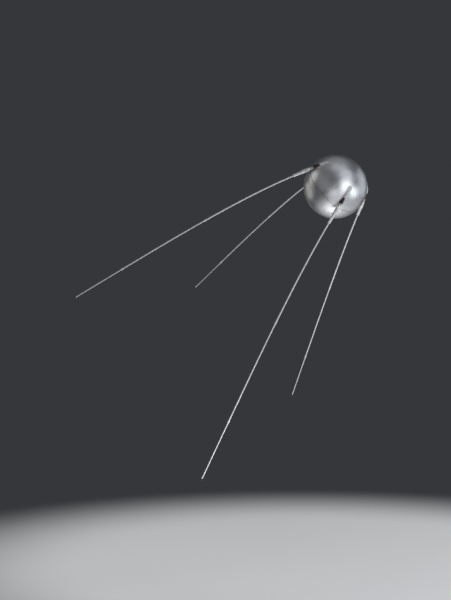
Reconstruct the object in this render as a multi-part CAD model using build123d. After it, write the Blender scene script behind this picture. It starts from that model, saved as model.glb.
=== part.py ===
from build123d import *
import os
from math import sin, cos, tan, atan, radians, degrees, sqrt, hypot

# A small spherical satellite with four swept-back whip antennas, as it hangs.
#
# Row frame (millimetres): the origin is the centre of the sphere, +Z is up, and
# the nose axis lies in the XZ plane, tipped up from +X.
# Satellite frame, in which everything is drawn: Z is the nose axis, the seam
# between the two half shells is the plane Z = 0, and X is the side that ends up
# highest.  A spin angle is measured about Z from that X.
# Rod frame of one antenna: the origin is its hinge pin, Z runs out along the
# rod, X points away from the sphere and Y is along the pin.

# ------------------------------------------------------------------ dimensions
NOSE_ELEVATION = 35.5        # deg, nose axis above the horizontal

R_SPHERE = 290.0             # outside radius
T_REAR = 2.0                 # rear half shell wall
T_SCREEN = 1.0               # polished heat screen over the front half
R_FRONT = 282.0              # pressure shell under the screen
T_FRONT = 2.0

GASKET = 1.5                 # rubber ring between the two flanges
R_FLANGE_IN = 264.0          # inside radius of both flanges
FRONT_FLANGE_H = 12.0
REAR_FRAME_H = 20.0
LIP_H = 4.0                  # lip of the front flange that shows below the screen
GROOVE = 1.2                 # depth of the V groove along the seam

BLOCK_AF = 430.0             # battery block, octagon across flats
BLOCK_H = 230.0
BLOCK_DISC_T = 3.0

# rod line: a tangent-like line in the plane through the nose axis
HALF_ANGLE = 26.0            # deg, between a rod and the nose axis
LINE_DIST = 292.0            # sphere centre to rod line
HINGE_S = 98.0               # from the line's nearest point out to the pin

# stations along the rod, measured from the pin
FAIRING_L = 84.0             # length of its pointed front
FAIRING_FULL = -HINGE_S      # where it reaches its full width
FAIRING_END = -82.0
R_FAIRING = 14.0
FOOT_T = 2.0
FOOT_W = 44.0
INSULATOR_END = -20.0
R_INSULATOR_FRONT = 10.5
R_INSULATOR = 19.0
FORK_BASE = -13.5
R_FORK = 12.5
CHEEK_T = 5.0
CHEEK_GAP = 8.6
R_CHEEK = 9.5
PIN_R = 4.0
PIN_PLAY = 0.05
PIN_HEAD_R = 6.0
PIN_HEAD_T = 2.5
TONGUE_T = 8.0
R_TONGUE = 8.0
SLEEVE_START = 14.0
SLEEVE_FULL = 42.0           # where it reaches its full width
SLEEVE_STEP = 100.0           # where it starts to narrow
SLEEVE_END = 185.0
R_SLEEVE_START = 12.0
R_SLEEVE_ROOT = 17.5
R_SLEEVE_TIP = 13.0
SPIGOT = 26.0                # rod length held inside the sleeve
JOINT_FRACTIONS = (0.430, 0.792)   # where the rod sections meet, of the whole
COLLAR_L = 26.0
COLLAR_OUT = 6.0
COLLAR_R = 8.5
CAP_L = 16.0
CAP_R = 6.0

# one row per antenna: name, spin angle (deg), length from the pin (mm), sag of
# the tip (mm), and how far the rod stands off the rod line at its open stop,
# outward and sideways (deg)
ANTENNAS = [
    ("upper_right",   57.3, 2624.0, 326.0,  0.5,  0.3),
    ("upper_left",   -32.7, 2828.0, 360.0, -2.7, -1.9),
    ("lower_right",  147.3, 2828.0, 246.0,  0.6,  2.0),
    ("lower_left",  -122.7, 2624.0, 203.0, -3.8,  2.5),
]
# one row per rod section: name, radius, number of arcs that follow the sag
# (none: the section is straight)
SECTIONS = [
    ("lower", 6.5, 3),
    ("middle", 5.6, 2),
    ("tip", 4.8, 0),
]

VALVE_SPIN, VALVE_LAT = -77.7, 35.0      # filling valve on the front half
CONTACT_SPIN, CONTACT_LAT = -77.7, -50.0  # separation contact on the rear half

TAIL_R = 50.0                # connector flange at the rear pole
TAIL_FACE = R_SPHERE + 14.0
TAIL_RECESS_R = 27.0         # the connector sits in a recess, below the face
TAIL_RECESS = 11.0
TAIL_PCD = 78.0
TAIL_BOLTS = 6
TAIL_BOLT_R = 2.5
TAIL_BOLT_DEPTH = 9.0

# --------------------------------------------------------------------- frames
g = radians(NOSE_ELEVATION)
SAT = Plane(origin=(0, 0, 0), x_dir=(-sin(g), 0, cos(g)),
            z_dir=(cos(g), 0, sin(g))).location
a = radians(HALF_ANGLE)
HINGE = (LINE_DIST * cos(a) + HINGE_S * sin(a), 0.0,
         LINE_DIST * sin(a) - HINGE_S * cos(a))
ROD = Plane(origin=HINGE, x_dir=(cos(a), 0, sin(a)),
            z_dir=(sin(a), 0, -cos(a))).location
# sphere centre seen from the rod frame
CENTRE = (-LINE_DIST, 0.0, -HINGE_S)

os.makedirs("parts", exist_ok=True)


def save(name, shape, where=SAT):
    export_step(where * shape, f"parts/{name}.step")
    print(name)


def ball(r):
    return Sphere(r)


def disc(r, z0, z1):
    return Pos(0, 0, (z0 + z1) / 2) * Cylinder(r, z1 - z0)


def ring(r_out, r_in, z0, z1):
    return disc(r_out, z0, z1) - disc(r_in, z0 - 1, z1 + 1)


def slab(z0, z1, half=400):
    return Pos(0, 0, (z0 + z1) / 2) * Box(2 * half, 2 * half, z1 - z0)


# ----------------------------------------------------------------- half shells
half = GASKET / 2
groove = revolve(Plane.XZ * make_face(Polyline(
    (R_SPHERE - GROOVE, -half), (R_SPHERE - GROOVE, half), (R_SPHERE + 3, half + GROOVE + 3),
    (R_SPHERE + 3, -half - GROOVE - 3), close=True)), Axis.Z)

front_ring = (ring(R_SPHERE, R_FLANGE_IN, half, half + FRONT_FLANGE_H)
              & ball(R_SPHERE - T_SCREEN - 0.1))
front_lip = ring(R_SPHERE + 1, R_FLANGE_IN, half, half + LIP_H) & ball(R_SPHERE)
front_wall = (ball(R_FRONT) - ball(R_FRONT - T_FRONT)) & slab(half, 400)
save("front_shell", front_wall + front_ring + front_lip - groove)

screen = (ball(R_SPHERE) - ball(R_SPHERE - T_SCREEN)) & slab(half + LIP_H, 400)
save("front_heat_screen", screen)

rear_wall = (ball(R_SPHERE) - ball(R_SPHERE - T_REAR)) & slab(-400, -half)
rear_ring = ring(R_SPHERE + 1, R_FLANGE_IN, -half - REAR_FRAME_H, -half) & ball(R_SPHERE)
save("rear_shell", rear_wall + rear_ring - groove)

save("seam_gasket", ring(R_SPHERE - GROOVE, R_FLANGE_IN + 2, -half, half))

octagon = extrude(Plane.XY.offset(-BLOCK_H / 2) * RegularPolygon(BLOCK_AF / 2, 8, major_radius=False), BLOCK_H)
deck = half + FRONT_FLANGE_H
save("battery_block", octagon + disc(R_FLANGE_IN + 5, deck, deck + BLOCK_DISC_T))


# ------------------------------------------------------- fittings on the skin
def on_skin(spin, lat):
    """Frame on the skin: Z straight out of the sphere, origin at its centre."""
    return Rot(0, 0, spin) * Rot(0, 90 - lat, 0)


valve = (disc(25, R_SPHERE - 6, R_SPHERE + 4) + disc(13, R_SPHERE + 4, R_SPHERE + 12)) - ball(R_SPHERE)
save("filling_valve_flange", valve, SAT * on_skin(VALVE_SPIN, VALVE_LAT))
valve_hex = extrude(Plane.XY.offset(R_SPHERE + 12) * RegularPolygon(11, 6, major_radius=False), 9)
save("filling_valve_cap", valve_hex + disc(7, R_SPHERE + 21, R_SPHERE + 24),
     SAT * on_skin(VALVE_SPIN, VALVE_LAT))

contact = (disc(20, R_SPHERE - 6, R_SPHERE + 3) + disc(12, R_SPHERE + 3, R_SPHERE + 14)) - ball(R_SPHERE)
save("separation_contact_housing", contact, SAT * on_skin(CONTACT_SPIN, CONTACT_LAT))
button = disc(6, R_SPHERE + 14, R_SPHERE + 18) + (Pos(0, 0, R_SPHERE + 16) * Sphere(6) & slab(R_SPHERE + 18, R_SPHERE + 30))
save("separation_contact_button", button, SAT * on_skin(CONTACT_SPIN, CONTACT_LAT))

TAIL = SAT * Rot(180, 0, 0)          # Z now points out of the rear pole
tail = disc(TAIL_R, R_SPHERE - 8, TAIL_FACE) - ball(R_SPHERE)
tail -= [Rot(0, 0, 360.0 * i / TAIL_BOLTS) * (Pos(TAIL_PCD / 2, 0, 0) * disc(TAIL_BOLT_R, TAIL_FACE - TAIL_BOLT_DEPTH, TAIL_FACE + 1))
         for i in range(TAIL_BOLTS)]
tail -= disc(TAIL_RECESS_R, TAIL_FACE - TAIL_RECESS, TAIL_FACE + 1)
save("tail_connector_flange", tail, TAIL)
floor = TAIL_FACE - TAIL_RECESS
tail_cap = disc(23, floor, floor + 5) + disc(18, floor + 5, TAIL_FACE - 2)
save("tail_connector_cap", tail_cap, TAIL)


# ------------------------------------------------------------ antenna fittings
def turned(*profile):
    """Solid of revolution about Z from (radius, z) corners listed root to tip."""
    pts = [(0, profile[0][1])] + list(profile) + [(0, profile[-1][1])]
    return revolve(Plane.XZ * make_face(Polyline(*pts, close=True)), Axis.Z)


sphere_here = Pos(*CENTRE) * Sphere(R_SPHERE)

# teardrop fairing: an ogive rising out of the skin, then a short barrel
lift = LINE_DIST - sqrt(R_SPHERE ** 2 - FAIRING_L ** 2)
nose_l = hypot(FAIRING_L, lift)
tilt = degrees(atan(lift / FAIRING_L))
rho = (R_FAIRING ** 2 + nose_l ** 2) / (2 * R_FAIRING)
r_mid = sqrt(rho ** 2 - (nose_l / 2) ** 2) - (rho - R_FAIRING)
ogive_face = make_face([
    ThreePointArc((0, -nose_l), (r_mid, -nose_l / 2), (R_FAIRING, 0)),
    Line((R_FAIRING, 0), (0, 0)), Line((0, 0), (0, -nose_l))])
ogive = revolve(Plane.XZ * ogive_face, Axis.Z)
fairing = (Pos(0, 0, FAIRING_FULL) * (Rot(0, tilt, 0) * ogive + Sphere(R_FAIRING))
           + disc(R_FAIRING, FAIRING_FULL, FAIRING_END))
fairing -= slab(FAIRING_END, FAIRING_END + 60, 60)
oval = extrude(Plane.YZ.offset(-60) * Pos(0, -HINGE_S - 12) * SlotOverall(176, FOOT_W, rotation=90), 90)
foot = ((Pos(*CENTRE) * Sphere(R_SPHERE + FOOT_T)) & oval)
fairing = (fairing + foot) - sphere_here
fairing -= turned((R_INSULATOR_FRONT + 2.5, FAIRING_END), (R_INSULATOR_FRONT + 2.5, FAIRING_END + 6),
                  (R_INSULATOR + 1, INSULATOR_END - 8), (R_INSULATOR + 1, INSULATOR_END + 30))

insulator = turned((R_INSULATOR_FRONT + 1.5, FAIRING_END), (R_INSULATOR_FRONT + 1.5, FAIRING_END + 4),
                   (R_INSULATOR_FRONT, FAIRING_END + 5), (R_INSULATOR, INSULATOR_END - 8),
                   (R_INSULATOR, INSULATOR_END - 2), (R_INSULATOR - 2, INSULATOR_END)) - sphere_here

cheek_profile = (Pos(0, 0, FORK_BASE / 2 - 1) * Box(2 * R_CHEEK, CHEEK_T, -FORK_BASE + 2)
                 + Rot(90, 0, 0) * Cylinder(R_CHEEK, CHEEK_T))
cheek_at = CHEEK_GAP / 2 + CHEEK_T / 2
fork = disc(R_FORK, INSULATOR_END, FORK_BASE)
fork += [Pos(0, side * cheek_at, 0) * cheek_profile for side in (-1, 1)]
fork -= Rot(90, 0, 0) * Cylinder(PIN_R + PIN_PLAY, 60)
fork -= sphere_here

pin_half = CHEEK_GAP / 2 + CHEEK_T
pin = Rot(90, 0, 0) * Cylinder(PIN_R, 2 * pin_half + 2)
pin += [Pos(0, side * (pin_half + PIN_HEAD_T / 2), 0) * (Rot(90, 0, 0) * Cylinder(PIN_HEAD_R, PIN_HEAD_T))
        for side in (-1, 1)]

tongue = (Pos(0, 0, 9) * Box(2 * R_TONGUE, TONGUE_T, 18) + Rot(90, 0, 0) * Cylinder(R_TONGUE, TONGUE_T))
pin_hole = Rot(90, 0, 0) * Cylinder(PIN_R + PIN_PLAY, 60)
cone = turned((R_SLEEVE_START, SLEEVE_START), (R_SLEEVE_ROOT, SLEEVE_FULL),
              (R_SLEEVE_ROOT, SLEEVE_STEP), (R_SLEEVE_TIP, SLEEVE_STEP + 14),
              (R_SLEEVE_TIP, SLEEVE_END - 9), (R_SLEEVE_TIP + 1, SLEEVE_END - 8),
              (R_SLEEVE_TIP + 1, SLEEVE_END - 1), (R_SLEEVE_TIP, SLEEVE_END))


def rod_slope(s, length, sag):
    """Slope of a uniform rod under its own weight, held at the pin."""
    t = s / length
    return sag / length * (12 * t - 12 * t ** 2 + 4 * t ** 3) / 3


def arc_rod(p, h0, h1, run, r):
    """Round rod along one arc in the XY plane: start p, headings h0 to h1,
    advancing by run along X.  Returns the solid and the end point."""
    hm = (h0 + h1) / 2
    chord = run / cos(hm)
    radius = chord / 2 / sin((h1 - h0) / 2)
    centre = (p[0] - radius * sin(h0), p[1] + radius * cos(h0))
    face = Plane(origin=(p[0], p[1], 0), x_dir=(0, 0, 1), z_dir=(cos(h0), sin(h0), 0)) * Circle(r)
    solid = revolve(face, Axis((centre[0], centre[1], 0), (0, 0, 1)), degrees(h1 - h0))
    return solid, (p[0] + chord * cos(hm), p[1] + chord * sin(hm))


def along(p, h):
    """Frame at p in the bending plane with Z along heading h."""
    return Plane(origin=(p[0], p[1], 0), x_dir=(0, 0, 1), z_dir=(cos(h), sin(h), 0)).location


pins = []
for name, spin, length, sag, out, aside in ANTENNAS:
    here = SAT * Rot(0, 0, spin) * ROD
    save(f"{name}_fairing", fairing, here)
    save(f"{name}_insulator", insulator, here)
    save(f"{name}_hinge_fork", fork, here)
    pins.append(here * pin)

    # the rod's own direction, and the plane in which it sags under gravity,
    # both in the rod frame
    way = Vector(tan(radians(out)), -tan(radians(aside)), 1).normalized()
    sp = radians(spin)
    g_r, g_t, g_z = -cos(g) * cos(sp), cos(g) * sin(sp), -sin(g)
    pull = Vector(g_r * cos(a) + g_z * sin(a), -g_t, g_r * sin(a) - g_z * cos(a))
    bend = Plane(origin=(0, 0, 0), x_dir=way, z_dir=way.cross(pull)).location
    h = atan(rod_slope(140.0, length, sag))          # the rigid sleeve leans this much
    lean = bend * along((0, 0), h)
    p = (SLEEVE_END * cos(h), SLEEVE_END * sin(h))
    root = ((SLEEVE_END - SPIGOT) * cos(h), (SLEEVE_END - SPIGOT) * sin(h))
    socket = lean * disc(SECTIONS[0][1], SLEEVE_END - SPIGOT, SLEEVE_END + 1)
    save(f"{name}_sleeve", (tongue + lean * cone) - pin_hole - socket, here)

    stations = [SLEEVE_END] + [f * length for f in JOINT_FRACTIONS] + [length]
    for i, (section, r, arcs) in enumerate(SECTIONS):
        rod = (along(root, h) * disc(r, 0, SPIGOT)) if i == 0 else None
        s0, s1 = stations[i], stations[i + 1]
        for k in range(arcs):
            sb = s0 + (s1 - s0) * (k + 1) / arcs
            h1 = atan(rod_slope(sb, length, sag))
            piece, p = arc_rod(p, h, h1, sb - p[0], r)
            h = h1
            rod = piece if rod is None else rod + piece
        if not arcs:
            rod = along(p, h) * disc(r, 0, (s1 - p[0]) / cos(h))
            p = (s1, p[1] + (s1 - p[0]) * tan(h))
        if i < 2:
            rod += along(p, h) * disc(COLLAR_R, COLLAR_OUT - COLLAR_L, COLLAR_OUT)
            p = (p[0] + COLLAR_OUT * cos(h), p[1] + COLLAR_OUT * sin(h))
        save(f"{name}_rod_{section}", bend * rod, here)
    cap = disc(CAP_R, 0, CAP_L - CAP_R) + Pos(0, 0, CAP_L - CAP_R) * Sphere(CAP_R)
    cap = cap & slab(0, 40, 20)
    save(f"{name}_tip_cap", bend * along(p, h) * cap, here)

save("hinge_pins", Compound(children=pins), Location())
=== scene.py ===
import random
from math import sin, cos, tan, atan, acos, asin, pi, radians, degrees, sqrt, hypot

import bpy
import bmesh
from mathutils import Matrix, Vector, noise


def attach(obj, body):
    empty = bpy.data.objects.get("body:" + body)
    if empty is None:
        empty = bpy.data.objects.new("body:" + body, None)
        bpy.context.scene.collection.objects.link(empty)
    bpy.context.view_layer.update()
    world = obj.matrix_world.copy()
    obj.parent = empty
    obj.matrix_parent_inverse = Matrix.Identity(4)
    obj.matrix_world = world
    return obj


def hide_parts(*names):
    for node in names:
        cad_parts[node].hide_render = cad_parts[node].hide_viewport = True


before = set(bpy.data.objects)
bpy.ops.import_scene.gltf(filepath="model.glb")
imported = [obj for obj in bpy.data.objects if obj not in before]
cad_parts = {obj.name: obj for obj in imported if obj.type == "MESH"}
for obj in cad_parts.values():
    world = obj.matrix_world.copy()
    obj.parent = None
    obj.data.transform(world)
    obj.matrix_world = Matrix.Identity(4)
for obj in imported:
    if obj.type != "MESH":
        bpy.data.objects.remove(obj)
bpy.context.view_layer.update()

random.seed(11)
MM = 0.001

# ------------------------------------------------------------------ dimensions
# millimetres, as in the part's source
NOSE_ELEVATION = 35.5
R_SPHERE = 290.0
T_REAR, T_SCREEN = 2.0, 1.0
GASKET, LIP_H, GROOVE = 1.5, 4.0, 1.2
R_FLANGE_IN, REAR_FRAME_H = 264.0, 20.0
HALF_ANGLE, LINE_DIST, HINGE_S = 26.0, 292.0, 98.0
FOOT_T, FOOT_W, FOOT_L = 2.0, 44.0, 176.0
FAIRING_L, R_FAIRING, FAIRING_END = 84.0, 14.0, -82.0
INSULATOR_END, R_INSULATOR_FRONT, R_INSULATOR = -20.0, 10.5, 19.0
FORK_BASE, CHEEK_T, CHEEK_GAP, R_CHEEK = -13.5, 5.0, 8.6, 9.5
PIN_R, PIN_HEAD_R, PIN_HEAD_T = 4.0, 6.0, 2.5
SLEEVE_START, SLEEVE_FULL, SLEEVE_STEP, SLEEVE_END = 14.0, 42.0, 100.0, 185.0
R_SLEEVE_START, R_SLEEVE_ROOT, R_SLEEVE_TIP = 12.0, 17.5, 13.0
JOINT_FRACTIONS = (0.430, 0.792)
COLLAR_L, COLLAR_OUT, COLLAR_R = 26.0, 6.0, 8.5
VALVE_SPIN, VALVE_LAT = -77.7, 35.0
CONTACT_SPIN, CONTACT_LAT = -77.7, -50.0
TAIL_R, TAIL_FACE, TAIL_RECESS = 50.0, 304.0, 11.0
# name, spin, length, sag, lean out and lean aside of the rod at its open stop
ANTENNAS = [
    ("upper_right",   57.3, 2624.0, 326.0,  0.5,  0.3),
    ("upper_left",   -32.7, 2828.0, 360.0, -2.7, -1.9),
    ("lower_right",  147.3, 2828.0, 246.0,  0.6,  2.0),
    ("lower_left",  -122.7, 2624.0, 203.0, -3.8,  2.5),
]

g, a = radians(NOSE_ELEVATION), radians(HALF_ANGLE)


def axes(x, y, z, origin=(0, 0, 0)):
    """4x4 frame from its three axes and origin."""
    m = Matrix((x, y, z)).transposed().to_4x4()
    m.translation = Vector(origin)
    return m


def plane(origin, x_dir, z_dir):
    x, z = Vector(x_dir).normalized(), Vector(z_dir).normalized()
    return axes(x, z.cross(x), z, origin)


def rot(axis, deg):
    return Matrix.Rotation(radians(deg), 4, axis)


def move(x, y, z):
    return Matrix.Translation((x, y, z))


SAT = plane((0, 0, 0), (-sin(g), 0, cos(g)), (cos(g), 0, sin(g)))
HINGE = (LINE_DIST * cos(a) + HINGE_S * sin(a), 0.0, LINE_DIST * sin(a) - HINGE_S * cos(a))
ROD = plane(HINGE, (cos(a), 0, sin(a)), (sin(a), 0, -cos(a)))
TAIL = SAT @ rot("X", 180)


def rod_frame(spin):
    return SAT @ rot("Z", spin) @ ROD


def rod_slope(s, length, sag):
    t = s / length
    return sag / length * (12 * t - 12 * t ** 2 + 4 * t ** 3) / 3


def on_skin(spin, lat):
    return SAT @ rot("Z", spin) @ rot("Y", 90 - lat)


# ------------------------------------------------------------------ mesh code
class Build:
    """Gathers points (mm, placed by a frame) and faces, and makes one piece."""

    def __init__(self):
        self.v, self.f, self.tag = [], [], []

    def add(self, pts, faces, at=None, tag=0):
        n = len(self.v)
        for p in pts:
            q = Vector(p)
            if at is not None:
                q = at @ q
            self.v.append(q)
        for f in faces:
            self.f.append([i + n for i in f])
            self.tag.append(tag)

    def lathe(self, profile, segs, at=None, tag=0, closed=False):
        """Turns (r, z) points about Z. Ends on the axis close to a point."""
        pts, rows, faces = [], [], []
        for r, z in profile:
            if r < 1e-6:
                rows.append([len(pts)])
                pts.append((0, 0, z))
            else:
                rows.append(list(range(len(pts), len(pts) + segs)))
                pts += [(r * cos(2 * pi * k / segs), r * sin(2 * pi * k / segs), z) for k in range(segs)]
        pairs = list(zip(rows, rows[1:]))
        if closed:
            pairs.append((rows[-1], rows[0]))
        for a_, b_ in pairs:
            for k in range(segs):
                j = (k + 1) % segs
                if len(a_) == 1 and len(b_) == 1:
                    continue
                if len(a_) == 1:
                    faces.append([a_[0], b_[j], b_[k]])
                elif len(b_) == 1:
                    faces.append([a_[k], a_[j], b_[0]])
                else:
                    faces.append([a_[k], a_[j], b_[j], b_[k]])
        self.add(pts, faces, at, tag)

    def prism(self, outline, z0, z1, at=None, tag=0, bevel=0.0):
        """Upright prism on a convex outline, with a bevelled top edge."""
        n = len(outline)
        cx = sum(p[0] for p in outline) / n
        cy = sum(p[1] for p in outline) / n

        def shrunk(d):
            out = []
            for x, y in outline:
                l = hypot(x - cx, y - cy)
                k = max(0.0, 1 - d / l) if l > 1e-9 else 1
                out.append((cx + (x - cx) * k, cy + (y - cy) * k))
            return out
        rings = [(outline, z0), (outline, z1 - bevel)]
        if bevel > 0:
            rings.append((shrunk(bevel), z1))
        pts = [(x, y, z) for o, z in rings for x, y in o]
        faces = [list(range(n))[::-1]]
        for r in range(len(rings) - 1):
            for k in range(n):
                j = (k + 1) % n
                faces.append([r * n + k, r * n + j, (r + 1) * n + j, (r + 1) * n + k])
        faces.append([(len(rings) - 1) * n + k for k in range(n)])
        self.add(pts, faces, at, tag)

    def tube(self, path, radius, segs=12, at=None, tag=0, taper=None):
        """Round tube along a list of points, with rounded ends."""
        path = [Vector(p) for p in path]
        pts, faces = [], []
        t_prev = (path[1] - path[0]).normalized()
        up = Vector((0, 0, 1)) if abs(t_prev.z) < 0.9 else Vector((1, 0, 0))
        n_ = (up - t_prev * up.dot(t_prev)).normalized()
        for i, p in enumerate(path):
            if i == 0:
                t = (path[1] - path[0]).normalized()
            elif i == len(path) - 1:
                t = (path[-1] - path[-2]).normalized()
            else:
                t = ((path[i + 1] - p).normalized() + (p - path[i - 1]).normalized()).normalized()
            n_ = (n_ - t * n_.dot(t)).normalized()
            b_ = t.cross(n_)
            r = radius * (taper(i / (len(path) - 1)) if taper else 1)
            for k in range(segs):
                w = 2 * pi * k / segs
                pts.append(p + (n_ * cos(w) + b_ * sin(w)) * r)
        m = len(path)
        for i in range(m - 1):
            for k in range(segs):
                j = (k + 1) % segs
                faces.append([i * segs + k, i * segs + j, (i + 1) * segs + j, (i + 1) * segs + k])
        faces.append([k for k in range(segs)][::-1])
        faces.append([(m - 1) * segs + k for k in range(segs)])
        self.add(pts, faces, at, tag)

    def piece(self, name, body, slot, materials, sharp=32.0):
        me = bpy.data.meshes.new(name)
        me.from_pydata([p * MM for p in self.v], [], self.f)
        if not isinstance(materials, (list, tuple)):
            materials = [materials]
        for m in materials:
            me.materials.append(m)
        for p, t in zip(me.polygons, self.tag):
            p.material_index = t
        me.validate()
        bm = bmesh.new()
        bm.from_mesh(me)
        bmesh.ops.recalc_face_normals(bm, faces=bm.faces)
        for f in bm.faces:
            f.smooth = True
        lim = radians(sharp)
        for e in bm.edges:
            if len(e.link_faces) == 2 and e.calc_face_angle(0.0) > lim:
                e.smooth = False
        bm.to_mesh(me)
        bm.free()
        ob = bpy.data.objects.new(name, me)
        bpy.context.scene.collection.objects.link(ob)
        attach(ob, body)
        return ob


def circle(r, n, phase=0.0):
    return [(r * cos(2 * pi * k / n + phase), r * sin(2 * pi * k / n + phase)) for k in range(n)]


def slotted_screw(b, at, r, h, turn, sink=1.2):
    """Cheese-head screw: a low drum with a bevelled rim and a driver slot."""
    at = at @ rot("Z", turn)
    w = r * 0.16
    floor = h * 0.45
    b.lathe([(0, -sink), (r, -sink), (r, floor), (0, floor)], 28, at)
    for side in (0, 180):
        start = asin(w / r)
        arc = [(r * cos(start + (pi - 2 * start) * k / 12), r * sin(start + (pi - 2 * start) * k / 12)) for k in range(13)]
        b.prism(arc, floor - 0.02, h, at @ rot("Z", side), bevel=min(0.35, r * 0.1))


def socket_screw(b, at, r, h, turn, sink=1.2):
    """Low round head with a hexagon socket."""
    at = at @ rot("Z", turn)
    n = 24
    hex_r = r * 0.5
    hexa = []
    for k in range(n):
        w = 2 * pi * k / n
        s = (w % (pi / 3)) - pi / 6
        rr = hex_r * cos(pi / 6) / cos(s)
        hexa.append((rr * cos(w), rr * sin(w)))
    bev = r * 0.12
    rings = [(circle(r, n), -sink), (circle(r, n), h - bev), (circle(r - bev, n), h), (hexa, h), (hexa, h * 0.35)]
    pts = [(x, y, z) for o, z in rings for x, y in o]
    faces = [list(range(n))[::-1]]
    for q in range(len(rings) - 1):
        for k in range(n):
            j = (k + 1) % n
            faces.append([q * n + k, q * n + j, (q + 1) * n + j, (q + 1) * n + k])
    faces.append([(len(rings) - 1) * n + k for k in range(n)])
    b.add(pts, faces, at)


# ------------------------------------------------------------------- materials
def new_mat(name):
    m = bpy.data.materials.new(name)
    m.use_nodes = True
    nt = m.node_tree
    bsdf = nt.nodes["Principled BSDF"]
    return m, nt, bsdf


def node(nt, kind, **props):
    n = nt.nodes.new(kind)
    for k, v in props.items():
        setattr(n, k, v)
    return n


def coords(nt, euler=(0, 0, 0), scale=(1, 1, 1), loc=(0, 0, 0)):
    tc = node(nt, "ShaderNodeTexCoord")
    mp = node(nt, "ShaderNodeMapping")
    mp.inputs["Rotation"].default_value = euler
    mp.inputs["Scale"].default_value = scale
    mp.inputs["Location"].default_value = loc
    nt.links.new(tc.outputs["Object"], mp.inputs["Vector"])
    return mp.outputs["Vector"]


def scaled(nt, vec, scale):
    m = node(nt, "ShaderNodeVectorMath", operation="MULTIPLY")
    nt.links.new(vec, m.inputs[0])
    m.inputs[1].default_value = scale
    return m.outputs[0]


def tex_noise(nt, vec, scale, detail=4.0, rough=0.55, distort=0.0):
    n = node(nt, "ShaderNodeTexNoise")
    nt.links.new(vec, n.inputs["Vector"])
    n.inputs["Scale"].default_value = scale
    n.inputs["Detail"].default_value = detail
    n.inputs["Roughness"].default_value = rough
    n.inputs["Distortion"].default_value = distort
    return n.outputs[0]


def ramp(nt, fac, lo, hi, out_lo=0.0, out_hi=1.0, smooth=True):
    n = node(nt, "ShaderNodeMapRange")
    n.interpolation_type = "SMOOTHSTEP" if smooth else "LINEAR"
    nt.links.new(fac, n.inputs["Value"])
    n.inputs["From Min"].default_value = lo
    n.inputs["From Max"].default_value = hi
    n.inputs["To Min"].default_value = out_lo
    n.inputs["To Max"].default_value = out_hi
    return n.outputs[0]


def math(nt, op, x, y=None, clamp=False):
    n = node(nt, "ShaderNodeMath", operation=op)
    n.use_clamp = clamp
    for i, v in enumerate((x, y)):
        if v is None:
            continue
        if isinstance(v, (int, float)):
            n.inputs[i].default_value = v
        else:
            nt.links.new(v, n.inputs[i])
    return n.outputs[0]


def mix(nt, fac, x, y, blend="MIX"):
    n = node(nt, "ShaderNodeMix", data_type="RGBA", blend_type=blend)
    n.clamp_factor = True
    if isinstance(fac, (int, float)):
        n.inputs[0].default_value = fac
    else:
        nt.links.new(fac, n.inputs[0])
    for i, v in ((6, x), (7, y)):
        if isinstance(v, tuple):
            n.inputs[i].default_value = (*v, 1.0)
        else:
            nt.links.new(v, n.inputs[i])
    return n.outputs[2]


def bump(nt, height, strength, distance, normal=None):
    n = node(nt, "ShaderNodeBump")
    n.inputs["Strength"].default_value = strength
    n.inputs["Distance"].default_value = distance
    nt.links.new(height, n.inputs["Height"])
    if normal is not None:
        nt.links.new(normal, n.inputs["Normal"])
    return n.outputs[0]


def scratches(nt, vec, scale, seed, keep=0.62):
    """Thin random hairlines: two stretched noises at an angle, thresholded."""
    out = None
    for i, (ang, st) in enumerate(((0.6 + seed, 26), (2.1 + seed, 30))):
        mp = node(nt, "ShaderNodeMapping")
        mp.inputs["Rotation"].default_value = (0.3 * i + seed, 0.8 - 0.5 * i, ang)
        mp.inputs["Scale"].default_value = (1.0, st, st)
        nt.links.new(vec, mp.inputs["Vector"])
        f = tex_noise(nt, mp.outputs[0], scale, 2.0, 0.4)
        line = ramp(nt, f, keep, keep + 0.05)
        out = line if out is None else math(nt, "MAXIMUM", out, line)
    return out


sat_inv = SAT.to_3x3().transposed()
SAT_EULER = tuple(sat_inv.to_euler("XYZ"))


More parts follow.
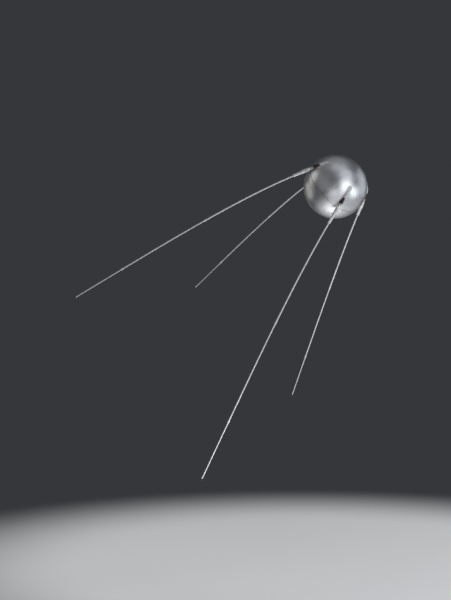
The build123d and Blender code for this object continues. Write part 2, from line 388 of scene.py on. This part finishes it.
def sphere_metal(name, light, dark, rough, seed, stain=0.35):
    """Hand-polished sheet aluminium: faint rings about the nose axis, cloudy
    smudges, hairlines, small pits, and painted shade mottled with grime by the seam."""
    m, nt, b = new_mat(name)
    v = coords(nt, SAT_EULER)
    sep = node(nt, "ShaderNodeSeparateXYZ")
    nt.links.new(v, sep.inputs[0])
    # polar angle from the nose, so the rings keep their pitch up to the pole
    ang = math(nt, "ARCCOSINE", math(nt, "DIVIDE", sep.outputs[2], R_SPHERE * MM * 1.003, clamp=False))
    comb = node(nt, "ShaderNodeCombineXYZ")
    nt.links.new(math(nt, "MULTIPLY", sep.outputs[0], 1.2), comb.inputs[0])
    nt.links.new(math(nt, "MULTIPLY", sep.outputs[1], 1.2), comb.inputs[1])
    nt.links.new(math(nt, "MULTIPLY", ang, 38.0), comb.inputs[2])
    rings = tex_noise(nt, comb.outputs[0], 5.0, 3.0, 0.6)
    cloud = tex_noise(nt, scaled(nt, v, (1, 1, 1)), 7.0 + seed, 5.0, 0.6, 0.6)
    cloud2 = tex_noise(nt, scaled(nt, v, (1.4, 0.8, 1)), 2.6 + seed * 0.3, 3.0, 0.5, 0.9)
    fine = tex_noise(nt, v, 160.0, 3.0, 0.6)
    hair = scratches(nt, v, 22.0, seed)
    pits = ramp(nt, tex_noise(nt, v, 95.0 + seed, 1.0, 0.3), 0.76, 0.83)

    col = mix(nt, ramp(nt, cloud, 0.35, 0.72), light, dark)
    col = mix(nt, math(nt, "MULTIPLY", ramp(nt, cloud2, 0.56, 0.78), stain), col, (0.50, 0.455, 0.39))
    col = mix(nt, math(nt, "MULTIPLY", ramp(nt, rings, 0.30, 0.75), 0.22), col, (0.62, 0.63, 0.64))
    col = mix(nt, math(nt, "MULTIPLY", pits, 0.5), col, (0.30, 0.29, 0.28))
    # painted shade: a darker band beside the seam groove, mottled with grime and made rougher there
    seam = ramp(nt, math(nt, "ABSOLUTE", sep.outputs[2]), 0.0012, 0.0055, 1.0, 0.0)
    seam = math(nt, "MULTIPLY", seam, ramp(nt, tex_noise(nt, v, 60.0, 3.0, 0.6), 0.3, 0.7, 0.10, 0.50))
    col = mix(nt, seam, col, (0.36, 0.35, 0.33))
    nt.links.new(col, b.inputs["Base Color"])

    r = math(nt, "ADD", math(nt, "MULTIPLY", ramp(nt, cloud, 0.3, 0.75), 0.11), rough)
    r = math(nt, "ADD", r, math(nt, "MULTIPLY", ramp(nt, cloud2, 0.5, 0.8), 0.07))
    r = math(nt, "ADD", r, math(nt, "MULTIPLY", hair, 0.05))
    r = math(nt, "ADD", r, math(nt, "MULTIPLY", seam, 0.25), clamp=True)
    nt.links.new(r, b.inputs["Roughness"])
    b.inputs["Metallic"].default_value = 1.0
    n1 = bump(nt, rings, 0.16, 0.0006)
    n2 = bump(nt, cloud, 0.30, 0.008, n1)
    n3 = bump(nt, hair, 0.05, 0.0003, n2)
    n4 = bump(nt, fine, 0.05, 0.0004, n3)
    nt.links.new(n4, b.inputs["Normal"])
    return m


def turned_metal(name, light, dark, rough, axis_euler, lines=900.0, seed=1.0, metallic=1.0, dirt=(0.24, 0.225, 0.20), dirt_amt=0.35, along=False):
    """Machined metal. Rings run round the piece's axis, or with along=True the
    grain runs down it."""
    m, nt, b = new_mat(name)
    v = coords(nt, axis_euler)
    st = (1.0, 1.0, 0.012) if along else (0.02, 0.02, 1.0)
    grain = tex_noise(nt, scaled(nt, v, st), lines, 3.0, 0.6)
    cloud = tex_noise(nt, v, 14.0 + seed, 5.0, 0.62, 0.5)
    spots = tex_noise(nt, v, 60.0 + seed * 3, 3.0, 0.6)
    fine = tex_noise(nt, v, 700.0, 2.0, 0.5)
    hair = scratches(nt, v, 45.0, seed)
    col = mix(nt, ramp(nt, cloud, 0.32, 0.72), light, dark)
    col = mix(nt, math(nt, "MULTIPLY", ramp(nt, grain, 0.35, 0.7), 0.25), col, tuple(c * 0.8 for c in dark))
    col = mix(nt, math(nt, "MULTIPLY", ramp(nt, spots, 0.60, 0.80), dirt_amt), col, dirt)
    nt.links.new(col, b.inputs["Base Color"])
    r = math(nt, "ADD", math(nt, "MULTIPLY", ramp(nt, cloud, 0.3, 0.75), 0.14), rough)
    r = math(nt, "ADD", r, math(nt, "MULTIPLY", ramp(nt, spots, 0.55, 0.8), 0.12))
    r = math(nt, "ADD", r, math(nt, "MULTIPLY", hair, 0.08), clamp=True)
    nt.links.new(r, b.inputs["Roughness"])
    b.inputs["Metallic"].default_value = metallic
    n1 = bump(nt, grain, 0.22, 0.00025)
    n2 = bump(nt, fine, 0.08, 0.0001, n1)
    n3 = bump(nt, hair, 0.12, 0.0002, n2)
    nt.links.new(n3, b.inputs["Normal"])
    return m


def dull(name, light, dark, rough, spread, grain_scale, grain_bump, metallic=0.0, spec=0.5, euler=(0, 0, 0), stretch=(1, 1, 1), wear=None, seed=0.0):
    """Rubber, moulded plastic or blackened steel, mottled, with worn patches."""
    m, nt, b = new_mat(name)
    v = coords(nt, euler)
    cloud = tex_noise(nt, v, 22.0 + seed, 5.0, 0.6, 0.4)
    grain = tex_noise(nt, scaled(nt, v, stretch), grain_scale, 4.0, 0.6)
    dust = tex_noise(nt, v, 8.0 + seed, 4.0, 0.6)
    col = mix(nt, ramp(nt, cloud, 0.3, 0.72), light, dark)
    if wear is not None:
        worn = math(nt, "MULTIPLY", ramp(nt, grain, 0.60, 0.78), ramp(nt, cloud, 0.45, 0.7))
        col = mix(nt, worn, col, wear)
    col = mix(nt, math(nt, "MULTIPLY", ramp(nt, dust, 0.5, 0.8), 0.10), col, (0.30, 0.29, 0.27))
    nt.links.new(col, b.inputs["Base Color"])
    r = math(nt, "ADD", math(nt, "MULTIPLY", ramp(nt, cloud, 0.3, 0.75), spread), rough)
    r = math(nt, "ADD", r, math(nt, "MULTIPLY", ramp(nt, dust, 0.5, 0.8), 0.1), clamp=True)
    nt.links.new(r, b.inputs["Roughness"])
    b.inputs["Metallic"].default_value = metallic
    b.inputs["Specular IOR Level"].default_value = spec
    nt.links.new(bump(nt, grain, grain_bump, 0.0003), b.inputs["Normal"])
    return m


def euler_of(m4):
    """Mapping rotation that turns row-frame coordinates into a frame's own."""
    return tuple(m4.to_3x3().transposed().to_euler("XYZ"))


screen_mat = sphere_metal("polished_screen_metal", (0.86, 0.87, 0.88), (0.74, 0.75, 0.76), 0.31, 0.0, 0.30)
rear_mat = sphere_metal("polished_shell_metal", (0.83, 0.84, 0.85), (0.70, 0.705, 0.71), 0.34, 1.7, 0.38)
lip_mat = turned_metal("flange_lip_metal", (0.66, 0.67, 0.68), (0.50, 0.50, 0.50), 0.34, SAT_EULER, 300.0, 2.0, dirt_amt=0.5)
fitting_mat = turned_metal("cast_fitting_alloy", (0.60, 0.61, 0.62), (0.44, 0.44, 0.435), 0.36, SAT_EULER, 260.0, 3.0)
tail_mat = turned_metal("tail_flange_alloy", (0.63, 0.635, 0.64), (0.47, 0.47, 0.465), 0.33, SAT_EULER, 500.0, 4.0)
steel_mat = turned_metal("bright_steel", (0.60, 0.60, 0.61), (0.42, 0.415, 0.41), 0.26, SAT_EULER, 1200.0, 5.0)
screw_mat = turned_metal("screw_steel", (0.50, 0.50, 0.50), (0.33, 0.325, 0.32), 0.34, SAT_EULER, 900.0, 6.0, dirt_amt=0.5)
rubber_mat = dull("gasket_rubber", (0.022, 0.022, 0.023), (0.010, 0.010, 0.010), 0.72, 0.16, 420.0, 0.25, spec=0.3)
block_mat = dull("battery_casing", (0.24, 0.26, 0.22), (0.17, 0.185, 0.155), 0.5, 0.15, 260.0, 0.15, wear=(0.36, 0.36, 0.34))
contact_mat = dull("contact_plastic_black", (0.030, 0.029, 0.028), (0.016, 0.015, 0.015), 0.42, 0.15, 500.0, 0.12)

# ------------------------------------------------------------------ the sphere
half = GASKET / 2


def skin(profile_outer, profile_inner, name, node_name, slot, mat, keep_from, sign):
    """A shell as one closed turned mesh.  Its outer face is very slightly
    uneven, as hand-polished sheet is, and true at the rim."""
    b = Build()
    segs = 300
    b.lathe(profile_outer + profile_inner, segs, closed=True)
    n_outer = sum(1 if r < 1e-6 else segs for r, z in profile_outer)
    for i in range(n_outer):
        p = b.v[i]
        depth = max(0.0, min(1.0, (sign * p.z - keep_from) / 30.0))
        depth = depth * depth * (3 - 2 * depth)
        q = p / 66.0
        w = noise.noise(q + Vector((3.1 * sign, 0, 7.7))) + 0.5 * noise.noise(q * 2.3 + Vector((9, sign, 2)))
        w += 0.22 * noise.noise(q * 5.1 + Vector((1, 4 * sign, 5)))
        p *= 1 - depth * (0.36 + 0.34 * w) / R_SPHERE * 0.75
    b.v = [SAT @ p for p in b.v]
    ob = b.piece(name, "sphere", slot, mat)
    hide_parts(node_name)
    return ob


def arc_profile(r, z_from, z_to, n):
    """(radius, z) points on a sphere of radius r, evenly spaced in angle."""
    t0, t1 = asin(z_from / r), asin(z_to / r)
    return [(r * cos(t0 + (t1 - t0) * k / n) if k < n or abs(z_to) < r else 0.0,
             r * sin(t0 + (t1 - t0) * k / n)) for k in range(n + 1)]


z_rim = half + LIP_H
outer = [(R_SPHERE * cos(asin(z_rim / R_SPHERE)) - 0.5, z_rim),
         (R_SPHERE * cos(asin((z_rim + 0.25) / R_SPHERE)) - 0.08, z_rim + 0.08)]
outer += arc_profile(R_SPHERE, z_rim + 0.45, R_SPHERE, 112)
outer[-1] = (0.0, R_SPHERE)
inner = arc_profile(R_SPHERE - T_SCREEN, R_SPHERE - T_SCREEN, z_rim, 26)
inner[0] = (0.0, R_SPHERE - T_SCREEN)
front_skin = skin(outer, inner, "front_screen_skin", "front_heat_screen", "polished_screen", screen_mat, 14.0, 1)

# the rear half runs from the pole back to the V groove at the seam
z_edge = half + GROOVE + 0.0
groove_top = [(R_SPHERE - GROOVE, -half), (R_SPHERE - 0.25, -half - GROOVE + 0.2), (R_SPHERE - 0.06, -half - GROOVE - 0.05)]
outer = groove_top + [(r, -z) for r, z in arc_profile(R_SPHERE, half + GROOVE + 0.35, R_SPHERE, 112)]
outer[-1] = (0.0, -R_SPHERE)
inner = [(r, -z) for r, z in arc_profile(R_SPHERE - T_REAR, R_SPHERE - T_REAR, half + REAR_FRAME_H + 1, 26)]
inner[0] = (0.0, -(R_SPHERE - T_REAR))
inner += [(R_FLANGE_IN, -half - REAR_FRAME_H), (R_FLANGE_IN, -half), (R_SPHERE - GROOVE, -half)][:2]
rear_skin = skin(outer, inner, "rear_polished_skin", "rear_shell", "polished_shell", rear_mat, 14.0, -1)

# small slotted screws that hold the screen's rim to the flange under it
b = Build()
SCREWS = 36
z_screw = 13.0
for k in range(SCREWS):
    lat = degrees(asin(z_screw / R_SPHERE))
    at = on_skin(360.0 * (k + 0.5) / SCREWS, lat) @ move(0, 0, R_SPHERE - 0.15)
    slotted_screw(b, at, 2.6, 0.55, random.uniform(0, 180), sink=0.8)
b.piece("screen_rim_screws", "sphere", "fitting_steel", screw_mat)

# ------------------------------------------------------- fittings on the skin
b = Build()
valve = on_skin(VALVE_SPIN, VALVE_LAT)
for k in range(4):
    slotted_screw(b, valve @ rot("Z", 45 + 90 * k) @ move(19, 0, R_SPHERE + 4), 2.8, 1.6, random.uniform(0, 180))
b.lathe([(13.0, R_SPHERE + 4.0), (14.6, R_SPHERE + 4.0), (14.6, R_SPHERE + 4.8), (13.8, R_SPHERE + 5.6), (13.0, R_SPHERE + 5.6)], 48, valve, closed=True)
contact = on_skin(CONTACT_SPIN, CONTACT_LAT)
for k in range(3):
    slotted_screw(b, contact @ rot("Z", 30 + 120 * k) @ move(16, 0, R_SPHERE + 3), 2.3, 1.4, random.uniform(0, 180))
b.piece("skin_fitting_screws", "sphere", "fitting_steel", screw_mat)

# twisted locking wire between the valve's cap and a flange screw
b = Build()
for ph in (0.0, pi):
    path = []
    for i in range(61):
        t = i / 60
        base = Vector((8.5 + 10.5 * t, 6.0 * sin(pi * t) + 1.5, R_SPHERE + 16 - 9.8 * t))
        path.append(base + Vector((0, cos(14 * pi * t + ph), sin(14 * pi * t + ph))) * 0.42)
    b.tube(path, 0.38, 8, valve @ rot("Z", 45))
b.piece("valve_locking_wire", "sphere", "fitting_steel", steel_mat)

# recessed tail connector: contact pins, a key and a threaded collar
b = Build()
floor_z = TAIL_FACE - TAIL_RECESS
b.lathe([(16.0, TAIL_FACE - 2.0), (18.1, TAIL_FACE - 2.0), (18.6, TAIL_FACE - 1.5), (18.1, TAIL_FACE - 1.0), (16.6, TAIL_FACE - 1.0), (16.0, TAIL_FACE - 1.4)], 60, TAIL, closed=True)
for i, (n, rr) in enumerate(((1, 0.0), (5, 5.4), (10, 11.0))):
    for k in range(n):
        at = TAIL @ rot("Z", 360.0 * k / n + 11 * i) @ move(rr, 0, 0)
        b.lathe([(0, TAIL_FACE - 2.2), (1.25, TAIL_FACE - 2.2), (1.25, TAIL_FACE - 1.2), (0.9, TAIL_FACE - 0.7), (0, TAIL_FACE - 0.6)], 14, at)
for k in range(3):
    b.lathe([(18.05, floor_z + 5.6 + 1.0 * k), (18.6, floor_z + 5.9 + 1.0 * k), (18.05, floor_z + 6.2 + 1.0 * k)], 60, TAIL, closed=True)
b.piece("tail_connector_pins", "sphere", "fitting_steel", steel_mat)

# a thin turned bead where the tail flange meets the skin
b = Build()
zc = sqrt(R_SPHERE ** 2 - TAIL_R ** 2)
b.lathe([(TAIL_R + 1.4 * cos(w) - 0.2, zc + 0.4 + 1.4 * sin(w)) for w in [2 * pi * k / 14 for k in range(14)]], 120, TAIL, closed=True)
b.piece("tail_flange_bead", "sphere", "fitting_alloy", tail_mat)

# ----------------------------------------------------- the four antenna roots
CENTRE = Vector((-LINE_DIST, 0.0, -HINGE_S))


def foot_point(y, z, lift=0.0):
    """Frame on the foot plate at (y, z) of the rod frame, Z straight out."""
    r = R_SPHERE + FOOT_T + lift
    x = CENTRE.x + sqrt(r * r - y * y - (z - CENTRE.z) ** 2)
    p = Vector((x, y, z))
    n = (p - CENTRE).normalized()
    return plane(p, (Vector((0, 0, 1)) - n * n.z), n)


def insulator_r(z):
    z0, z1 = FAIRING_END + 5, INSULATOR_END - 8
    t = max(0.0, min(1.0, (z - z0) / (z1 - z0)))
    return R_INSULATOR_FRONT + (R_INSULATOR - R_INSULATOR_FRONT) * t


fairing_screws, beads, springs = Build(), Build(), Build()
for name, spin, length, sag, out, aside in ANTENNAS:
    here = rod_frame(spin)
    mats = {}
    euler = euler_of(here)
    seed = spin % 7
    mats["fairing"] = turned_metal(f"{name}_fairing_alloy", (0.74, 0.745, 0.75), (0.63, 0.63, 0.63), 0.46, euler, 420.0, seed, metallic=0.25, along=True)
    mats["insulator"] = dull(f"{name}_insulator_phenolic", (0.060, 0.026, 0.020), (0.026, 0.013, 0.011), 0.32, 0.16, 900.0, 0.20,
                             spec=0.42, euler=euler, stretch=(0.03, 0.03, 1.0), seed=seed)
    mats["fork"] = turned_metal(f"{name}_fork_steel", (0.72, 0.72, 0.72), (0.56, 0.555, 0.55), 0.38, euler, 380.0, seed, metallic=0.85, along=True, dirt_amt=0.30)

    # the rod's own direction, and the plane in which it sags
    way = Vector((tan(radians(out)), -tan(radians(aside)), 1)).normalized()
    sp = radians(spin)
    g_r, g_t, g_z = -cos(g) * cos(sp), cos(g) * sin(sp), -sin(g)
    pull = Vector((g_r * cos(a) + g_z * sin(a), -g_t, g_r * sin(a) - g_z * cos(a)))
    bend = plane((0, 0, 0), way, way.cross(pull))

    def along(p, h):
        return plane((p[0], p[1], 0), (0, 0, 1), (cos(h), sin(h), 0))

    h = atan(rod_slope(140.0, length, sag))
    lean = here @ bend @ along((0, 0), h)
    euler_rod = euler_of(lean)
    mats["sleeve"] = turned_metal(f"{name}_sleeve_metal", (0.93, 0.935, 0.94), (0.84, 0.84, 0.835), 0.48, euler_rod, 700.0, seed, metallic=0.60, dirt_amt=0.14)
    mats["rod"] = turned_metal(f"{name}_rod_metal", (0.93, 0.935, 0.94), (0.84, 0.84, 0.835), 0.50, euler_rod, 900.0, seed, metallic=0.65, along=True, dirt_amt=0.16)
    mats["tip"] = dull(f"{name}_tip_rubber", (0.045, 0.043, 0.041), (0.025, 0.024, 0.023), 0.60, 0.15, 400.0, 0.2, seed=seed)
    for part, key in (("fairing", "fairing"), ("insulator", "insulator"), ("hinge_fork", "fork"), ("sleeve", "sleeve"),
                      ("rod_lower", "rod"), ("rod_middle", "rod"), ("rod_tip", "rod"), ("tip_cap", "tip")):
        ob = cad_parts[f"{name}_{part}"]
        if ob.data.materials:
            for s_ in ob.material_slots:
                s_.material = mats[key]
        else:
            ob.data.materials.append(mats[key])

    # foot plate screws, along both edges and one ahead of the fairing
    mid = -HINGE_S - 12.0
    spots = [(sd * 18.4, mid + dz) for sd in (-1, 1) for dz in (-52.0, -18.0, 16.0, 48.0)] + [(0.0, mid - 80.5)]
    for y, z in spots:
        slotted_screw(fairing_screws, here @ foot_point(y, z), 2.7, 1.5, random.uniform(0, 180))

    # turned beads round the insulator
    for z in (-68.0, -55.0, -42.0, -29.0):
        r = insulator_r(z)
        beads.lathe([(r + 0.9 * cos(w), z + 1.3 * sin(w)) for w in [-pi / 2 + pi * k / 8 for k in range(9)]]
                    + [(r - 1.2, z + 1.3), (r - 1.2, z - 1.3)], 56, here, closed=True)

    # the torsion springs that hold the antenna open: a coil round each end of
    # the pin and a leg on the fork
    for side in (-1, 1):
        turns, wire, rc = 3.2, 0.8, 7.4
        y0 = CHEEK_GAP / 2 + CHEEK_T + wire + 0.05
        path = []
        for i in range(97):
            t = i / 96
            w = 2 * pi * turns * t + pi
            path.append((rc * sin(w), side * (y0 + 1.75 * wire * turns * t * 0.62), rc * cos(w)))
        x0, yy0, z0 = path[0]
        leg = [(x0 - 0.3 * k, side * y0, z0 - 3.0 * k - 2) for k in (3, 2, 1)]
        springs.tube(leg + path, wire, 10, here)
b = beads
b.piece("insulator_beads", "sphere", "insulator_plastic", dull("bead_phenolic", (0.040, 0.022, 0.017), (0.020, 0.012, 0.010), 0.30, 0.14, 900.0, 0.12, spec=0.5))
fairing_screws.piece("fairing_foot_screws", "sphere", "fitting_steel", screw_mat)
springs.piece("hinge_springs", "sphere", "pin_steel", steel_mat)

# pieces that swing with each antenna
for name, spin, length, sag, out, aside in ANTENNAS:
    here = rod_frame(spin)
    body = f"{name}_antenna"
    way = Vector((tan(radians(out)), -tan(radians(aside)), 1)).normalized()
    sp = radians(spin)
    g_r, g_t, g_z = -cos(g) * cos(sp), cos(g) * sin(sp), -sin(g)
    pull = Vector((g_r * cos(a) + g_z * sin(a), -g_t, g_r * sin(a) - g_z * cos(a)))
    bend = plane((0, 0, 0), way, way.cross(pull))
    h = atan(rod_slope(140.0, length, sag))
    lean = here @ bend @ plane((0, 0, 0), (0, 0, 1), (cos(h), sin(h), 0))
    b = Build()
    # raised rings round the sleeve's root and before its step
    for z, r, up_, wd in ((SLEEVE_FULL + 3.0, R_SLEEVE_ROOT, 0.7, 1.6), (SLEEVE_FULL + 9.5, R_SLEEVE_ROOT, 0.7, 1.6),
                        (SLEEVE_STEP - 5.0, R_SLEEVE_ROOT, 0.6, 1.4)):
        b.lathe([(r + up_ * cos(w), z + wd * sin(w)) for w in [-pi / 2 + pi * k / 8 for k in range(9)]]
                + [(r - 0.8, z + wd), (r - 0.8, z - wd)], 56, lean, closed=True)
    # two clamp screws in the sleeve's tip
    for k in range(2):
        at = lean @ rot("Z", 90 + 180 * k) @ plane((R_SLEEVE_TIP + 1.0, 0, SLEEVE_END - 4.5), (0, 0, 1), (1, 0, 0))
        socket_screw(b, at, 2.2, 0.9, random.uniform(0, 60), sink=0.8)
    b.piece(f"{name}_sleeve_trim", body, "pin_steel", steel_mat)

# ------------------------------------------------ materials on the CAD pieces
for n, m in (("front_shell", lip_mat), ("seam_gasket", rubber_mat), ("battery_block", block_mat),
             ("filling_valve_flange", fitting_mat), ("filling_valve_cap", steel_mat),
             ("separation_contact_housing", fitting_mat), ("separation_contact_button", contact_mat),
             ("tail_connector_flange", tail_mat), ("tail_connector_cap", contact_mat), ("hinge_pins", steel_mat)):
    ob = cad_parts[n]
    if ob.data.materials:
        for s_ in ob.material_slots:
            s_.material = m
    else:
        ob.data.materials.append(m)

# ------------------------------------------------------------------- the stage
FLOOR_Z = -3.55
me = bpy.data.meshes.new("studio_floor")
n = 96
ringsr = [0.0, 2, 5, 9, 14, 20, 30]
vs = [(-1.1, 0, FLOOR_Z)]
fs = []
for i, r in enumerate(ringsr[1:]):
    vs += [(-1.1 + r * cos(2 * pi * k / n), r * sin(2 * pi * k / n), FLOOR_Z) for k in range(n)]
    for k in range(n):
        j = (k + 1) % n
        if i == 0:
            fs.append([0, 1 + k, 1 + j])
        else:
            o0, o1 = 1 + (i - 1) * n, 1 + i * n
            fs.append([o0 + k, o1 + k, o1 + j, o0 + j])
me.from_pydata(vs, [], fs)
floor = bpy.data.objects.new("studio_floor", me)
bpy.context.scene.collection.objects.link(floor)
m, nt, bs = new_mat("studio_floor_pale")
v = coords(nt)
fl = tex_noise(nt, v, 1.3, 4.0, 0.5)
nt.links.new(mix(nt, ramp(nt, fl, 0.3, 0.7), (0.82, 0.82, 0.815), (0.79, 0.79, 0.79)), bs.inputs["Base Color"])
bs.inputs["Emission Color"].default_value = (1.0, 1.0, 1.0, 1)
bs.inputs["Emission Strength"].default_value = 0.26
bs.inputs["Roughness"].default_value = 0.85
bs.inputs["Specular IOR Level"].default_value = 0.2
# the floor fades into the backdrop far away
off = node(nt, "ShaderNodeVectorMath", operation="SUBTRACT")
nt.links.new(v, off.inputs[0])
off.inputs[1].default_value = (-0.5, 0.4, FLOOR_Z)
ln = node(nt, "ShaderNodeVectorMath", operation="LENGTH")
nt.links.new(off.outputs[0], ln.inputs[0])
fade = ramp(nt, ln.outputs["Value"], 2.3, 4.9)
tr = node(nt, "ShaderNodeBsdfTransparent")
mx = node(nt, "ShaderNodeMixShader")
nt.links.new(fade, mx.inputs[0])
nt.links.new(bs.outputs[0], mx.inputs[1])
nt.links.new(tr.outputs[0], mx.inputs[2])
nt.links.new(mx.outputs[0], nt.nodes["Material Output"].inputs["Surface"])
me.materials.append(m)

# a dim backdrop all round and a paler, evenly lit ceiling
world = bpy.data.worlds.new("studio_world")
bpy.context.scene.world = world
world.use_nodes = True
nt = world.node_tree
bg = nt.nodes["Background"]
tc = node(nt, "ShaderNodeTexCoord")
sp_ = node(nt, "ShaderNodeSeparateXYZ")
nt.links.new(tc.outputs["Generated"], sp_.inputs[0])
nt.links.new(mix(nt, ramp(nt, sp_.outputs[2], 0.62, 1.0), (0.036, 0.038, 0.042), (0.22, 0.23, 0.24)), bg.inputs["Color"])
bg.inputs["Strength"].default_value = 1.0

# camera: level, telephoto, 12 m from the sphere
CAM = Vector((7.5662, -9.2566, -1.0333))
cam = bpy.data.cameras.new("camera")
cam.lens = 78.31
cam.sensor_width = 36.0
cam.clip_start, cam.clip_end = 0.1, 200
cam_ob = bpy.data.objects.new("camera", cam)
cam_ob.location = CAM
cam_ob.rotation_euler = (radians(90), 0, radians(44.07))
bpy.context.scene.collection.objects.link(cam_ob)
bpy.context.scene.camera = cam_ob

right = Vector((0.71845, 0.69558, 0))
ahead = Vector((-0.69558, 0.71845, 0))
up = Vector((0, 0, 1))


def softbox(name, azimuth, elevation, dist, size, radiance, colour=(1, 1, 1)):
    """Area light seen from the sphere at an azimuth (0 toward the camera,
    positive to its right) and an elevation, both in degrees."""
    az, el = radians(azimuth), radians(elevation)
    d = right * (sin(az) * cos(el)) + up * sin(el) - ahead * (cos(az) * cos(el))
    lamp = bpy.data.lights.new(name, "AREA")
    lamp.shape = "RECTANGLE"
    lamp.size, lamp.size_y = size
    lamp.energy = radiance * pi * size[0] * size[1]
    lamp.color = colour
    ob = bpy.data.objects.new(name, lamp)
    ob.location = d * dist
    ob.rotation_mode = "QUATERNION"
    ob.rotation_quaternion = (-d).to_track_quat("-Z", "Y")
    ob.visible_camera = False
    bpy.context.scene.collection.objects.link(ob)
    return ob


softbox("key", 34, -2, 6.5, (4.3, 4.0), 1.82, (0.96, 0.99, 1.02))
softbox("key_right", 68, -20, 6.3, (4.0, 3.4), 1.45, (0.93, 0.98, 1.04))
softbox("right_low", 120, -36, 5.4, (3.6, 2.8), 0.36, (0.93, 0.98, 1.04))
softbox("front_low", 0, -30, 5.6, (5.4, 3.2), 0.79, (0.95, 0.98, 1.03))
softbox("front_left", -46, 12, 6.5, (4.8, 6.2), 0.17, (0.96, 0.99, 1.02))
softbox("from_below", -80, -83, 2.9, (1.9, 1.6), 1.50, (0.98, 1.0, 1.01))
softbox("top_front", 42, 34, 6.5, (5.4, 4.0), 0.62, (0.92, 0.98, 1.06))
softbox("top", 20, 64, 6.0, (4.2, 4.0), 0.26, (0.94, 0.98, 1.04))
softbox("right_back", 110, 8, 6.5, (5.2, 6.0), 0.55, (0.92, 0.98, 1.06))
softbox("warm_left", -97, 26, 5.2, (2.6, 3.0), 0.64, (1.0, 0.97, 0.93))
softbox("warm_left_low", -115, -6, 5.4, (3.2, 2.8), 0.58, (1.0, 0.97, 0.92))

bpy.context.scene.view_settings.view_transform = "Standard"
